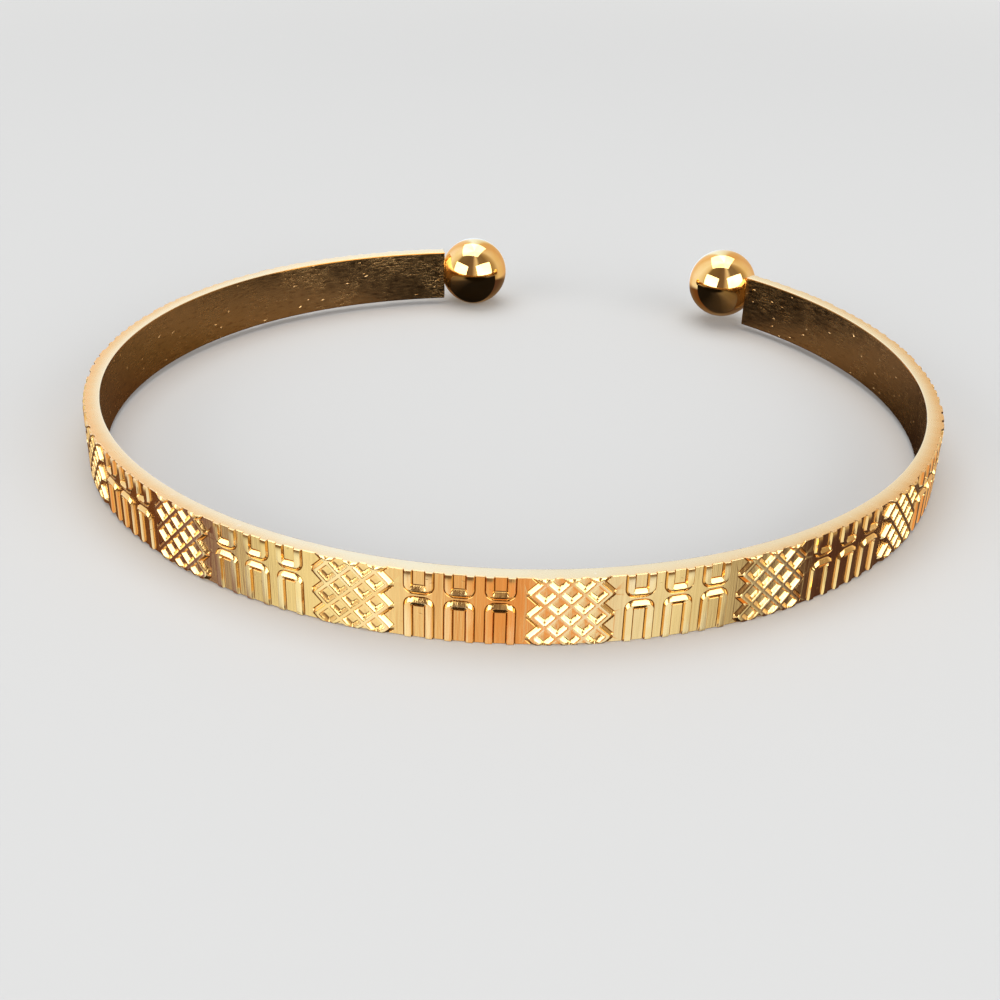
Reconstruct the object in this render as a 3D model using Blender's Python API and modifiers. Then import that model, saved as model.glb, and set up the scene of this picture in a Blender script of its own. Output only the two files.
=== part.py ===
# Open cuff bangle: a pressed strip bent to an oval, with a drilled ball on a peg at each end.
# Metres, +Z up. The closed side faces -Y, the opening +Y, and it lies as it rests on a table.
import math

import bmesh
import bpy
from mathutils import Matrix, Vector
from mathutils.geometry import intersect_ray_tri

# strip stock
STRIP_WIDTH = 0.0047
STRIP_THICKNESS = 0.0010
RELIEF_HEIGHT = 0.00029

# bend, along the middle of the strip
HOOP_RADIUS = 0.0330
GAP_ANGLE = 54.9
# share of HOOP_RADIUS, share of the whole bend; from the left end round the front to the right end
BEND_SHARES = (
    (1.084, 0.041),
    (0.892, 0.331),
    (1.000, 0.298),
    (0.960, 0.214),
    (0.977, 0.116),
)

# pressed pattern, repeated along the strip: a lattice panel, a plain pad, three arches, a plain pad
PATTERN_SHIFT = 0.01105
PAD_WIDTH = 0.00060
CELL = 0.00153
CELL_COLUMNS = 3
CELL_ROW_SHIFT = 0.00112
RIB_TOP = 0.00030
RIB_WALL_RUN = 0.00008
PIT_WALL_RUN = 0.00023
ARCH_SPAN = 0.00128
ARCH_GAP = 0.00056
ARCH_CORNER = 0.00028
HANGING_ARCH_SHARE = 0.277
RISING_ARCH_SHARE = 0.545

# ball ends, each set a little above the middle of the strip
BALL_DIAMETER = 0.00635
BALL_FLAT_DEPTH = 0.0002
LEFT_SEAT_HEIGHT = 0.0002
RIGHT_SEAT_HEIGHT = 0.0009
PEG_DIAMETER = 0.0008
PEG_DEPTH = 0.0030
PEG_ROOT = 0.0015
FIT_GAP = 0.0003

BACK = -(STRIP_THICKNESS + RELIEF_HEIGHT) / 2
GROUND = BACK + STRIP_THICKNESS
CREST = GROUND + RELIEF_HEIGHT
AXIS_OUT = BACK + STRIP_THICKNESS / 2
OVERRUN = STRIP_WIDTH / 4
ARCH_PITCH = ARCH_SPAN + 2 * RELIEF_HEIGHT + ARCH_GAP
ARCHES_LENGTH = 3 * ARCH_PITCH - ARCH_GAP
LATTICE_LENGTH = CELL_COLUMNS * CELL + (RIB_TOP + 2 * RIB_WALL_RUN) * math.sqrt(2)
PATTERN_PERIOD = LATTICE_LENGTH + ARCHES_LENGTH + 2 * PAD_WIDTH

for old in list(bpy.data.objects):
    bpy.data.objects.remove(old, do_unlink=True)

parts = bpy.data.collections.new("Bangle")
cutters = bpy.data.collections.new("Cutters")
bpy.context.scene.collection.children.link(parts)
bpy.context.scene.collection.children.link(cutters)


def metal(name, color, roughness):
    mat = bpy.data.materials.new(name)
    mat.use_nodes = True
    shader = mat.node_tree.nodes["Principled BSDF"]
    shader.inputs["Base Color"].default_value = (*color, 1.0)
    shader.inputs["Metallic"].default_value = 1.0
    shader.inputs["Roughness"].default_value = roughness
    return mat


def add_object(name, bm, collection):
    mesh = bpy.data.meshes.new(name)
    bm.to_mesh(mesh)
    bm.free()
    obj = bpy.data.objects.new(name, mesh)
    collection.objects.link(obj)
    return obj


def evaluated_mesh(obj):
    graph = bpy.context.evaluated_depsgraph_get()
    return bpy.data.meshes.new_from_object(obj.evaluated_get(graph), depsgraph=graph)


def block(name, low, high):
    bm = bmesh.new()
    size = Vector(high) - Vector(low)
    middle = (Vector(high) + Vector(low)) / 2
    matrix = Matrix.Translation(middle) @ Matrix.Diagonal((*size, 1.0))
    bmesh.ops.create_cube(bm, size=1.0, matrix=matrix)
    return add_object(name, bm, cutters)


def boolean(obj, name, operation, other):
    mod = obj.modifiers.new(name, "BOOLEAN")
    mod.operation = operation
    mod.solver = "EXACT"
    mod.object = other


def cell_rows():
    """Heights of the cell rows that reach the strip, the full rows first."""
    top = STRIP_WIDTH / 2 - CELL_ROW_SHIFT
    count = math.ceil(STRIP_WIDTH / CELL) + 2
    return [top + (1 - k) * CELL for k in range(count)]


def lattice_block():
    """Raised panel with zigzag ends, its walls leaning in towards the top."""
    half = CELL_COLUMNS * CELL / 2
    top_reach = half + RIB_TOP / 2 * math.sqrt(2)
    lean = RIB_WALL_RUN * math.sqrt(2)
    side = []
    for y in cell_rows():
        side.append((0.0, y))
        side.append((-CELL / 2, y - CELL / 2))
    bm = bmesh.new()
    outline = [(-(top_reach + lean + x), y) for x, y in side]
    outline += [(top_reach + lean + x, y) for x, y in reversed(side)]
    base = (BACK + GROUND) / 2
    face = bm.faces.new([bm.verts.new((x, y, base)) for x, y in outline])
    extruded = bmesh.ops.extrude_face_region(bm, geom=[face])
    for vert in extruded["geom"]:
        if isinstance(vert, bmesh.types.BMVert):
            vert.co.x -= math.copysign(lean * (CREST - base) / RELIEF_HEIGHT, vert.co.x)
            vert.co.z = CREST
    bmesh.ops.recalc_face_normals(bm, faces=bm.faces)
    return add_object("lattice block", bm, cutters)


def pit_cutters():
    """Four-sided pits between the ribs, narrower at the floor."""
    mouth = CELL / 2 - RIB_TOP / 2 * math.sqrt(2)
    floor = mouth - PIT_WALL_RUN * math.sqrt(2)
    low = GROUND - RELIEF_HEIGHT / 12
    high = CREST + RELIEF_HEIGHT / 3
    spread = (mouth - floor) * (high - low) / (CREST - low)
    bm = bmesh.new()
    for row, y in enumerate(cell_rows()):
        for shifted in (False, True):
            columns = CELL_COLUMNS - 1 if shifted else CELL_COLUMNS
            height = y - CELL / 2 if shifted else y
            if abs(height) > STRIP_WIDTH / 2 + mouth:
                continue
            for column in range(columns):
                x = (column - (columns - 1) / 2) * CELL
                at = Matrix.Translation((x, height, (low + high) / 2))
                bmesh.ops.create_cone(bm, cap_ends=True, segments=4, radius1=floor,
                                      radius2=floor + spread, depth=high - low, matrix=at)
    return add_object("lattice pits", bm, cutters)


def arch_ridges():
    """Three arches hanging from the top edge and three rising from the lower edge."""
    curve = bpy.data.curves.new("arch ridges", "CURVE")
    curve.dimensions = "3D"
    curve.bevel_depth = RELIEF_HEIGHT
    curve.bevel_resolution = 0
    curve.use_fill_caps = True
    edge = STRIP_WIDTH / 2
    beyond = edge + OVERRUN / 2
    spans = ((1.0, edge - HANGING_ARCH_SHARE * STRIP_WIDTH), (-1.0, -edge + RISING_ARCH_SHARE * STRIP_WIDTH))
    for number in (-1, 0, 1):
        middle = PATTERN_PERIOD / 2 + number * ARCH_PITCH
        left = middle - ARCH_SPAN / 2
        right = middle + ARCH_SPAN / 2
        for way, crown in spans:
            turn = crown + way * ARCH_CORNER
            points = (
                (left, way * beyond), (left, turn), (left + ARCH_CORNER, crown),
                (right - ARCH_CORNER, crown), (right, turn), (right, way * beyond),
            )
            spline = curve.splines.new("POLY")
            spline.points.add(len(points) - 1)
            for point, (x, y) in zip(spline.points, points):
                point.co = (x, y, GROUND, 1.0)
    source = bpy.data.objects.new("arch ridges", curve)
    cutters.objects.link(source)
    mesh = evaluated_mesh(source)
    bpy.data.objects.remove(source)
    bm = bmesh.new()
    bm.from_mesh(mesh)
    bmesh.ops.remove_doubles(bm, verts=bm.verts, dist=1e-7)
    bmesh.ops.recalc_face_normals(bm, faces=bm.faces)
    return add_object("arch ridges", bm, cutters)


def pattern_tile():
    """One period of the flat strip: x along it, y across its width, z out of its pressed face."""
    lattice_end = LATTICE_LENGTH / 2 + PAD_WIDTH / 2
    first = -lattice_end
    last = PATTERN_PERIOD - lattice_end
    wide = STRIP_WIDTH / 2 + OVERRUN
    tile = block("tile", (first, -wide, BACK), (last, wide, GROUND))
    trim = block("width trim", (first - OVERRUN, -STRIP_WIDTH / 2, BACK - OVERRUN),
                 (last + OVERRUN, STRIP_WIDTH / 2, CREST + OVERRUN))
    helpers = [lattice_block(), pit_cutters(), arch_ridges(), trim]
    boolean(tile, "lattice", "UNION", helpers[0])
    boolean(tile, "pits", "DIFFERENCE", helpers[1])
    boolean(tile, "arches", "UNION", helpers[2])
    boolean(tile, "edges", "INTERSECT", trim)
    mesh = evaluated_mesh(tile)
    for helper in helpers + [tile]:
        bpy.data.objects.remove(helper)
    bm = bmesh.new()
    bm.from_mesh(mesh)
    between = ARCH_PITCH / 2
    stations = (-CELL / 2, CELL / 2, lattice_end, PATTERN_PERIOD / 2 - between, PATTERN_PERIOD / 2 + between)
    for x in stations:
        everything = list(bm.verts) + list(bm.edges) + list(bm.faces)
        bmesh.ops.bisect_plane(bm, geom=everything, dist=1e-7, plane_co=(x, 0, 0), plane_no=(1, 0, 0))
    ends = [face for face in bm.faces
            if all(abs(v.co.x - first) < 1e-7 for v in face.verts)
            or all(abs(v.co.x - last) < 1e-7 for v in face.verts)]
    bmesh.ops.delete(bm, geom=ends, context="FACES_ONLY")
    return bm, first


def bend_table():
    """Start station, start point, start heading and radius of each arc, and the strip's length."""
    wrap = math.radians(360.0 - GAP_ANGLE)
    total = sum(share for _, share in BEND_SHARES)
    sweeps = [wrap * share / total for _, share in BEND_SHARES]
    heading = -(sweeps[0] + sweeps[1] + sweeps[2] / 2)
    point = Vector((0.0, 0.0))
    station = 0.0
    rows = []
    for (radius_share, _), sweep in zip(BEND_SHARES, sweeps):
        radius = radius_share * HOOP_RADIUS
        rows.append((station, point.copy(), heading, radius))
        after = heading + sweep
        point += radius * Vector((math.sin(after) - math.sin(heading), math.cos(heading) - math.cos(after)))
        heading = after
        station += radius * sweep
    return rows, station


ARC_ROWS, STRIP_LENGTH = bend_table()


def on_bend(station):
    """Point and heading of the strip's middle line, both in plan."""
    row = [r for r in ARC_ROWS if r[0] <= max(station, 0.0)][-1]
    start, point, heading, radius = row
    after = heading + (station - start) / radius
    offset = Vector((math.sin(after) - math.sin(heading), math.cos(heading) - math.cos(after)))
    return point + radius * offset, after


def bent_strip():
    tile_bm, first = pattern_tile()
    tile = add_object("tile row", tile_bm, cutters)
    low = -STRIP_LENGTH / 2
    ahead = math.ceil((PATTERN_SHIFT + first - low) / PATTERN_PERIOD)
    row_start = PATTERN_SHIFT - ahead * PATTERN_PERIOD
    array = tile.modifiers.new("repeat", "ARRAY")
    array.count = math.ceil((STRIP_LENGTH / 2 - (row_start + first)) / PATTERN_PERIOD)
    array.use_relative_offset = False
    array.use_constant_offset = True
    array.constant_offset_displace = (PATTERN_PERIOD, 0.0, 0.0)
    array.use_merge_vertices = True
    array.merge_threshold = 0.000001
    mesh = evaluated_mesh(tile)
    bpy.data.objects.remove(tile)
    bm = bmesh.new()
    bm.from_mesh(mesh)
    bmesh.ops.translate(bm, verts=bm.verts, vec=(row_start, 0.0, 0.0))
    for way in (-1.0, 1.0):
        everything = list(bm.verts) + list(bm.edges) + list(bm.faces)
        cut = bmesh.ops.bisect_plane(bm, geom=everything, dist=1e-7, plane_co=(way * STRIP_LENGTH / 2, 0, 0),
                                     plane_no=(way, 0, 0), clear_outer=True)
        rim = [e for e in cut["geom_cut"] if isinstance(e, bmesh.types.BMEdge)]
        bmesh.ops.edgeloop_fill(bm, edges=rim)
    bmesh.ops.triangulate(bm, faces=bm.faces, quad_method="BEAUTY", ngon_method="BEAUTY")
    for vert in bm.verts:
        x, y, z = vert.co
        point, heading = on_bend(x + STRIP_LENGTH / 2)
        vert.co = (point.x + z * math.sin(heading), point.y - z * math.cos(heading), y)
    bmesh.ops.recalc_face_normals(bm, faces=bm.faces)
    return add_object("band", bm, parts)


def end_frame(way):
    """Matrix at a ball's seat on a strip end: local Z runs out of the end, local X out of the pressed face."""
    point, heading = on_bend(STRIP_LENGTH if way > 0 else 0.0)
    forward = Vector((math.cos(heading), math.sin(heading), 0.0)) * way
    out = Vector((math.sin(heading), -math.cos(heading), 0.0))
    across = forward.cross(out)
    turn = Matrix((out, across, forward)).transposed().to_4x4()
    height = RIGHT_SEAT_HEIGHT if way > 0 else LEFT_SEAT_HEIGHT
    place = Vector((point.x, point.y, height)) + out * AXIS_OUT
    return Matrix.Translation(place) @ turn


def cylinder(name, diameter, low, high, sides, matrix, collection):
    bm = bmesh.new()
    at = Matrix.Translation((0.0, 0.0, (low + high) / 2))
    bmesh.ops.create_cone(bm, cap_ends=True, segments=sides, radius1=diameter / 2, radius2=diameter / 2,
                          depth=high - low, matrix=at)
    obj = add_object(name, bm, collection)
    obj.matrix_world = matrix
    return obj


def hide_cutter(obj):
    obj.hide_render = True
    obj.display_type = "WIRE"


def ball(name, way, material):
    radius = BALL_DIAMETER / 2
    frame = end_frame(way)
    seat = BALL_FLAT_DEPTH - radius
    centre = FIT_GAP - seat
    bm = bmesh.new()
    bmesh.ops.create_uvsphere(bm, u_segments=32, v_segments=16, radius=radius)
    everything = list(bm.verts) + list(bm.edges) + list(bm.faces)
    cut = bmesh.ops.bisect_plane(bm, geom=everything, dist=1e-7, plane_co=(0, 0, seat),
                                 plane_no=(0, 0, -1), clear_outer=True)
    bmesh.ops.edgeloop_fill(bm, edges=[e for e in cut["geom_cut"] if isinstance(e, bmesh.types.BMEdge)])
    bmesh.ops.recalc_face_normals(bm, faces=bm.faces)
    obj = add_object(name, bm, parts)
    obj.matrix_world = frame @ Matrix.Translation((0.0, 0.0, centre))
    depth = FIT_GAP + PEG_DEPTH
    bore = cylinder(name + " bore", PEG_DIAMETER + 2 * FIT_GAP, -FIT_GAP, depth + FIT_GAP, 16, frame, cutters)
    hide_cutter(bore)
    boolean(obj, "bore", "DIFFERENCE", bore)
    obj.data.materials.append(material)
    obj.data.shade_smooth()
    obj.data.set_sharp_from_angle(angle=math.radians(40))
    return obj, bore


def rest_turn(points, centre):
    """Turn that lays the bangle on the three lowest points around its centre of mass."""
    bm = bmesh.new()
    scale = 1.0 / HOOP_RADIUS
    for point in points:
        bm.verts.new(point * scale)
    bmesh.ops.convex_hull(bm, input=bm.verts)
    bm.normal_update()
    lowest = Vector((0.0, 0.0, 0.0))
    for face in bm.faces:
        corners = [vert.co for vert in face.verts]
        if face.normal.z < lowest.z and intersect_ray_tri(*corners, face.normal, centre * scale, True):
            lowest = face.normal.copy()
    bm.free()
    return lowest.rotation_difference(Vector((0.0, 0.0, -1.0))).to_matrix().to_4x4()


gold = metal("pressed gold", (0.80, 0.53, 0.20), 0.28)
polished_left = metal("polished gold left", (0.86, 0.62, 0.30), 0.08)
polished_right = metal("polished gold right", (0.86, 0.62, 0.30), 0.08)

band = bent_strip()
band.data.materials.append(gold)
pegs = []
for way, side in ((-1.0, "left"), (1.0, "right")):
    tip = FIT_GAP + PEG_DEPTH
    peg = cylinder("peg " + side, PEG_DIAMETER, -PEG_ROOT, tip, 12, end_frame(way), cutters)
    hide_cutter(peg)
    boolean(band, "peg " + side, "UNION", peg)
    pegs.append(peg)

ball_left, bore_left = ball("ball_left", -1.0, polished_left)
ball_right, bore_right = ball("ball_right", 1.0, polished_right)

bpy.context.view_layer.update()
pieces = [band, ball_left, ball_right]
under = [piece.matrix_world @ vert.co for piece in pieces for vert in piece.data.vertices]
middle = sum((vert.co for vert in band.data.vertices), Vector()) / len(band.data.vertices)
tip_over = rest_turn([point for point in under if point.z < -STRIP_WIDTH / 3], middle)
corners = [tip_over @ piece.matrix_world @ vert.co for piece in pieces for vert in piece.data.vertices]
low = [min(c[i] for c in corners) for i in range(3)]
high = [max(c[i] for c in corners) for i in range(3)]

rest = bpy.data.objects.new("bangle rest", None)
parts.objects.link(rest)
rest.matrix_world = Matrix.Translation((-(low[0] + high[0]) / 2, -(low[1] + high[1]) / 2, -low[2])) @ tip_over
for obj in pieces + pegs + [bore_left, bore_right]:
    obj.parent = rest
bpy.context.view_layer.update()
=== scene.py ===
# Open cuff bangle with a pressed strip and two ball ends
import math

import bmesh
import bpy
from mathutils import Euler, Matrix, Vector


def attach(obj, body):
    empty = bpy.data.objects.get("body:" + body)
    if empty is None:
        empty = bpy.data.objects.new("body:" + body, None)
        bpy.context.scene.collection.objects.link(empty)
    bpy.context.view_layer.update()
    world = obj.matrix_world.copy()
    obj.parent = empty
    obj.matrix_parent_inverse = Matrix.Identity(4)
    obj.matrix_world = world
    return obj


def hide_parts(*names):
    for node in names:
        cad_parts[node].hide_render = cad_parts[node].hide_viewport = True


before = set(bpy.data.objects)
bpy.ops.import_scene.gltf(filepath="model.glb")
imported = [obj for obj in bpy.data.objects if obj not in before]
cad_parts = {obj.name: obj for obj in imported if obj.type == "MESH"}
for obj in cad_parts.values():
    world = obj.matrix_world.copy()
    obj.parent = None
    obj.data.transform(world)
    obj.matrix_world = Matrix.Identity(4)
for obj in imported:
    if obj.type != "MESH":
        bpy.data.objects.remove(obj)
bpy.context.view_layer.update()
print("frame loaded:", ", ".join(sorted(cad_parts)))

mm = 0.001
snap = 2e-6     # points nearer than this count as one where the tile is cut

# flat strip stock and how it is bent, the same sizes as the solids
strip = {
    "width": 4.70 * mm,
    "thickness": 1.00 * mm,
    "relief": 0.29 * mm,
    "hoopRadius": 33.0 * mm,
    "gapAngle": 54.9,
    # share of the hoop radius, share of the whole bend
    "bend": ((1.084, 0.041), (0.892, 0.331), (1.000, 0.298), (0.960, 0.214), (0.977, 0.116)),
    "edgeRound": 0.05 * mm,
    "innerRound": 0.11 * mm,
    "slice": 0.80 * mm,         # longest face along the strip, so that it bends smoothly
    "endRound": 0.05 * mm,
    "endSlant": 0.8,            # share of endRound by which the end face is inset
    "endReach": 0.28 * mm,      # closes the working gap up to the ball
    "creaseAngle": 24.0,
    "restTurn": (0.009963955, 0.00200728, 0.00001),
    "restPlace": (-0.012204725, 0.027177870, 0.002970716),
}

# pressed pattern: lattice panel, pad, three pairs of arches, pad
pattern = {
    "shift": 11.05 * mm,
    "pad": 0.60 * mm,
    "cell": 1.53 * mm,
    "columns": 3,
    "rowShift": 1.12 * mm,
    "ribTop": 0.30 * mm,
    "ribOuterRun": 0.08 * mm,
    "ground": 0.09 * mm,        # the ground's height over the stock's own face
    "height": 0.17 * mm,        # an arch's height over the ground
    "edgeSoft": 0.22 * mm,      # crests sink over this distance from the trimmed edges
    "edgeShare": 0.72,          # what is left of their height there
    "overrun": 0.50 * mm,       # how far arches reach past the edge before they are trimmed
    "margin": 0.30 * mm,        # the same for the lattice
    "ribRange": (-6, 12),       # first rib and one past the last, more than the panel needs
    # distance from the middle of a rib in mm, and share of the height there: below a rib, above a rib
    # and outside the panel
    "ribLines": ((0.078, 1.20, 1.20, 1.20), (0.106, 1.15, 1.15, 1.15), (0.142, 0.58, 0.98, 0.82),
                 (0.190, 0.12, 0.74, 0.60), (0.325, 0.02, 0.13, -0.22), (0.380, 0.01, 0.01, 0.00),
                 (0.455, 0.00, 0.00, 0.00)),
    "ribFoot": 0.380,
    "archSpan": 1.28 * mm,
    "archGap": 0.56 * mm,
    "archTurns": 6,
    "ridgeMiddle": 0.32 * mm,
    "crownBlend": 1.5,
    # distance from the inner foot of an arch's ridge in mm, and share of the height, along a leg and
    # over the crown
    "legRidge": ((0.000, 0.0), (0.040, -0.24), (0.078, 0.12), (0.122, 0.94), (0.32, 1.0),
                 (0.518, 0.94), (0.562, 0.12), (0.600, -0.24), (0.640, 0.0)),
    "crownRidge": ((-0.045, 0.0), (0.006, -0.24), (0.050, 0.15), (0.295, 0.96), (0.32, 1.0),
                   (0.345, 0.96), (0.590, 0.15), (0.634, -0.24), (0.685, 0.0)),
    "hanging": 0.277,
    "rising": 0.545,
}

backLevel = -(strip["thickness"] + strip["relief"]) / 2
groundLevel = backLevel + strip["thickness"]
rootTwo = math.sqrt(2)
archPitch = pattern["archSpan"] + 2 * strip["relief"] + pattern["archGap"]
archesLength = 3 * archPitch - pattern["archGap"]
latticeLength = (pattern["columns"] * pattern["cell"]
                 + (pattern["ribTop"] + 2 * pattern["ribOuterRun"]) * rootTwo)
patternPeriod = latticeLength + archesLength + 2 * pattern["pad"]


def reliefAt(share):
    return groundLevel + pattern["ground"] + share * pattern["height"]


def trimWidth(bm, limit):
    for way in (-1, 1):
        everything = list(bm.verts) + list(bm.edges) + list(bm.faces)
        bmesh.ops.bisect_plane(bm, geom=everything, dist=snap, plane_co=(0, way * limit, 0),
                               plane_no=(0, way, 0), clear_outer=True)


def addLattice(bm, limit):
    # a grid whose lines run along the ribs, so every edge of a rib or pit is a line of the mesh
    half = pattern["columns"] * pattern["cell"] / 2
    pitch = pattern["cell"] / rootTwo
    rowHeight = strip["width"] / 2 - pattern["rowShift"]
    lines = []      # place, cell, and share of the height for the two ways that a line can run
    for number in range(*pattern["ribRange"]):
        centre = (-half + number * pattern["cell"]) / rootTwo
        for offset, under, over, _ in reversed(pattern["ribLines"]):
            lines.append((centre - offset * mm, number - 1, under, over))
        for offset, under, over, _ in pattern["ribLines"]:
            lines.append((centre + offset * mm, number, over, under))
    last = pattern["columns"] + 1
    around = [(stepU, stepV) for stepU in (-1, 0, 1) for stepV in (-1, 0, 1)]
    verts = {}

    def inLattice(i, j):
        return 0 <= i + j <= last

    def cellEdge(cell, step):
        return (-half + (cell + max(step, 0)) * pattern["cell"]) / rootTwo

    def vertAt(a, b):
        if (a, b) not in verts:
            u, cellU, shareU = lines[a][:3]
            v, cellV = lines[b][:2]
            if inLattice(cellU, cellV):
                share = max(shareU, lines[b][3])
            else:
                share = outShare(a, b)
            x = (u + v) / rootTwo
            y = rowHeight + (u - v) / rootTwo
            verts[(a, b)] = bm.verts.new((x, y, reliefAt(share)))
        return verts[(a, b)]

    def outShare(a, b):
        # distance from the nearest lattice cell, measured along the grid
        cellU, cellV = lines[a][1], lines[b][1]
        best = 1.0
        for stepU, stepV in around:
            if not inLattice(cellU + stepU, cellV + stepV):
                continue
            away = 0.0
            for step, line in ((stepU, lines[a]), (stepV, lines[b])):
                if step:
                    away = math.hypot(away, step * (cellEdge(line[1], step) - line[0]))
            best = min(best, away)
        table = [(0.0, pattern["ribLines"][0][3])]
        table += [(row[0] * mm, row[3]) for row in pattern["ribLines"]]
        for (near, high), (far, low) in zip(table, table[1:]):
            if best <= far + 1e-9:
                return high + (low - high) * (best - near) / (far - near)
        return 0.0

    foot = pattern["ribFoot"] * mm
    for a in range(len(lines) - 1):
        for b in range(len(lines) - 1):
            middleU = (lines[a][0] + lines[a + 1][0]) / 2
            middleV = (lines[b][0] + lines[b + 1][0]) / 2
            x = (middleU + middleV) / rootTwo
            y = rowHeight + (middleU - middleV) / rootTwo
            if abs(y) > limit + pattern["margin"] or abs(x) > half + pitch:
                continue
            cells = [math.floor((m * rootTwo + half) / pattern["cell"]) for m in (middleU, middleV)]
            if not inLattice(*cells):
                near = []
                for stepU, stepV in around:
                    if not inLattice(cells[0] + stepU, cells[1] + stepV):
                        continue
                    away = 0.0
                    for step, middle, cell in ((stepU, middleU, cells[0]), (stepV, middleV, cells[1])):
                        if step:
                            away = max(away, step * (cellEdge(cell, step) - middle))
                    near.append(away)
                if not near or min(near) > foot:
                    continue
            corners = [vertAt(a, b), vertAt(a + 1, b), vertAt(a + 1, b + 1), vertAt(a, b + 1)]
            bm.faces.new(corners)
    trimWidth(bm, limit)


def addArches(bm, limit):
    inner = pattern["archSpan"] / 2 - pattern["ridgeMiddle"]
    beyond = strip["width"] / 2 + pattern["overrun"]
    soften = strip["width"] / 2 - strip["edgeRound"] - pattern["edgeSoft"]
    crowns = ((1, strip["width"] * (0.5 - pattern["hanging"]) + pattern["ridgeMiddle"]),
              (-1, strip["width"] * (-0.5 + pattern["rising"]) - pattern["ridgeMiddle"]))
    for number in (-1, 0, 1):
        middle = patternPeriod / 2 + number * archPitch
        for way, footY in crowns:
            sections = [(middle - inner, way * beyond, math.pi), (middle - inner, way * soften, math.pi)]
            for side in (-1, 1):
                for turn in range(pattern["archTurns"] + 1):
                    share = turn / pattern["archTurns"]
                    angle = math.pi + way * (share if side < 0 else 1 + share) * math.pi / 2
                    sections.append((middle + side * inner, footY, angle))
            sections.append((middle + inner, way * soften, math.pi + way * math.pi))
            sections.append((middle + inner, way * beyond, math.pi + way * math.pi))
            rows = []
            for x, y, angle in sections:
                out = Vector((math.cos(angle), math.sin(angle)))
                rounding = abs(out.y) ** pattern["crownBlend"]
                row = []
                for leg, crown in zip(pattern["legRidge"], pattern["crownRidge"]):
                    away = leg[0] + (crown[0] - leg[0]) * rounding
                    share = leg[1] + (crown[1] - leg[1]) * rounding
                    place = (x + out.x * away * mm, y + out.y * away * mm, reliefAt(share))
                    row.append(bm.verts.new(place))
                rows.append(row)
            for rowA, rowB in zip(rows, rows[1:]):
                for k in range(len(rowA) - 1):
                    bm.faces.new((rowA[k], rowA[k + 1], rowB[k + 1], rowB[k]))
    bmesh.ops.remove_doubles(bm, verts=bm.verts, dist=1e-7)
    trimWidth(bm, limit)


def withEdges(faces):
    geom = set(faces)
    for face in faces:
        geom.update(face.verts)
        geom.update(face.edges)
    return geom


def sliceFaces(bm, faces, first, last):
    count = math.ceil((last - first) / strip["slice"])
    for k in range(1, count):
        x = first + (last - first) * k / count
        faces = [f for f in faces if f.is_valid]
        geom = withEdges([f for f in faces if min(v.co.x for v in f.verts) < x < max(v.co.x for v in f.verts)])
        cut = bmesh.ops.bisect_plane(bm, geom=list(geom), dist=snap, plane_co=(x, 0, 0), plane_no=(1, 0, 0))
        faces += [f for f in cut["geom"] if isinstance(f, bmesh.types.BMFace) and f not in geom]


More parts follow.
